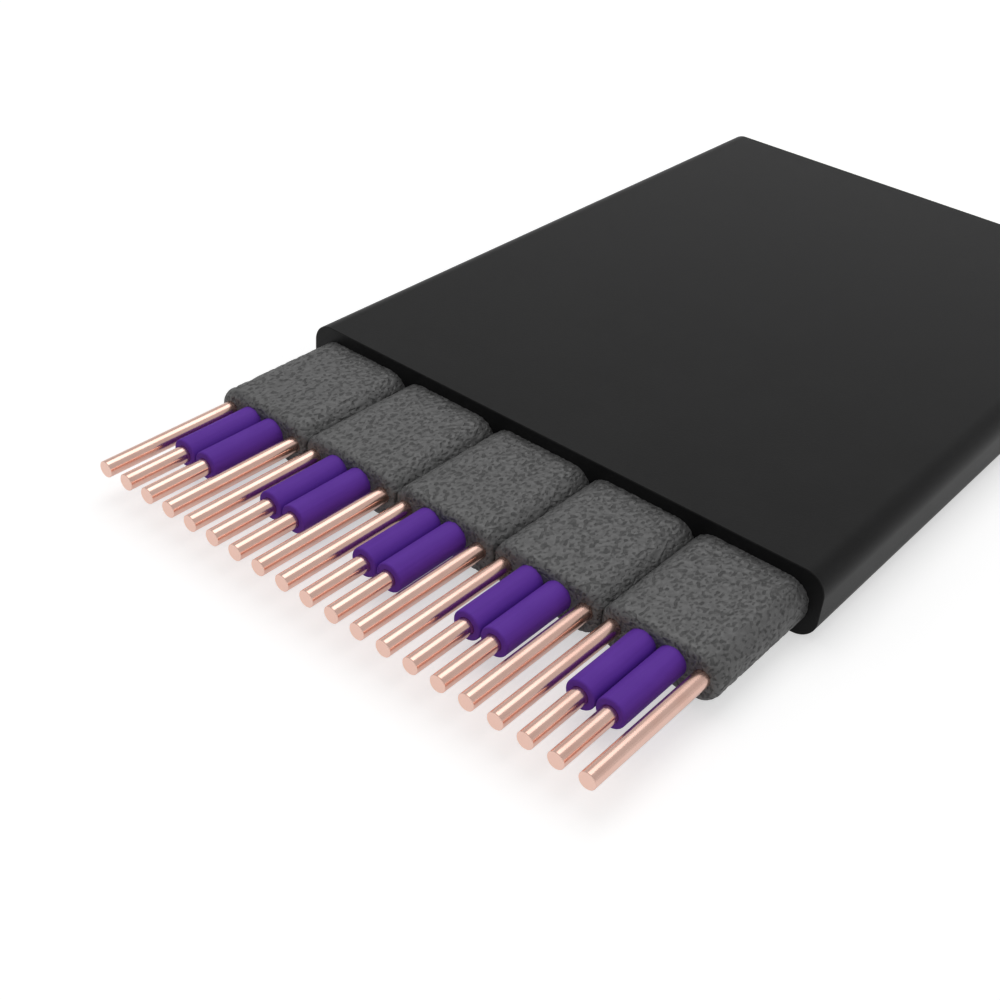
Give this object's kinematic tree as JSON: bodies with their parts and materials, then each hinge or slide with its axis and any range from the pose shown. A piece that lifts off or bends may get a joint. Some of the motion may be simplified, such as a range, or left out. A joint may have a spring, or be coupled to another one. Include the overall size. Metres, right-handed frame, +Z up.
{
  "type": "graphics card riser cable",
  "caption": "Stripped end of a flat shielded riser ribbon: bare copper tips in one row, insulated signal pairs with drain wires, foil wraps side by side in a flat outer jacket.",
  "frame": {"origin": "middle of the cable's underside, halfway between the wire tips and the cut far end", "axes": "+Y along the cable from the bare wire tips to the jacketed end, +X across the row of wires, +Z up through the flat face of the jacket"},
  "size_m": [0.012, 0.0218, 0.0014],
  "materials": {
    "jacket_plastic": "satin black, faintly grained",
    "shield_foil": "dull grey crinkled foil",
    "purple_insulation": "matte purple",
    "bare_copper": "bright drawn copper"
  },
  "bodies": {
    "root": {"outer_jacket": "jacket_plastic", "shield_wrap_1": "shield_foil", "signal_wire_1_left": "bare_copper", "insulation_1_left": "purple_insulation", "drain_wire_1_left": "bare_copper", "signal_wire_1_right": "bare_copper", "insulation_1_right": "purple_insulation", "drain_wire_1_right": "bare_copper", "shield_wrap_2": "shield_foil", "signal_wire_2_left": "bare_copper", "insulation_2_left": "purple_insulation", "drain_wire_2_left": "bare_copper", "signal_wire_2_right": "bare_copper", "insulation_2_right": "purple_insulation", "drain_wire_2_right": "bare_copper", "shield_wrap_3": "shield_foil", "signal_wire_3_left": "bare_copper", "insulation_3_left": "purple_insulation", "drain_wire_3_left": "bare_copper", "signal_wire_3_right": "bare_copper", "insulation_3_right": "purple_insulation", "drain_wire_3_right": "bare_copper", "shield_wrap_4": "shield_foil", "signal_wire_4_left": "bare_copper", "insulation_4_left": "purple_insulation", "drain_wire_4_left": "bare_copper", "signal_wire_4_right": "bare_copper", "insulation_4_right": "purple_insulation", "drain_wire_4_right": "bare_copper", "shield_wrap_5": "shield_foil", "signal_wire_5_left": "bare_copper", "insulation_5_left": "purple_insulation", "drain_wire_5_left": "bare_copper", "signal_wire_5_right": "bare_copper", "insulation_5_right": "purple_insulation", "drain_wire_5_right": "bare_copper"}
  },
  "joints": []
}
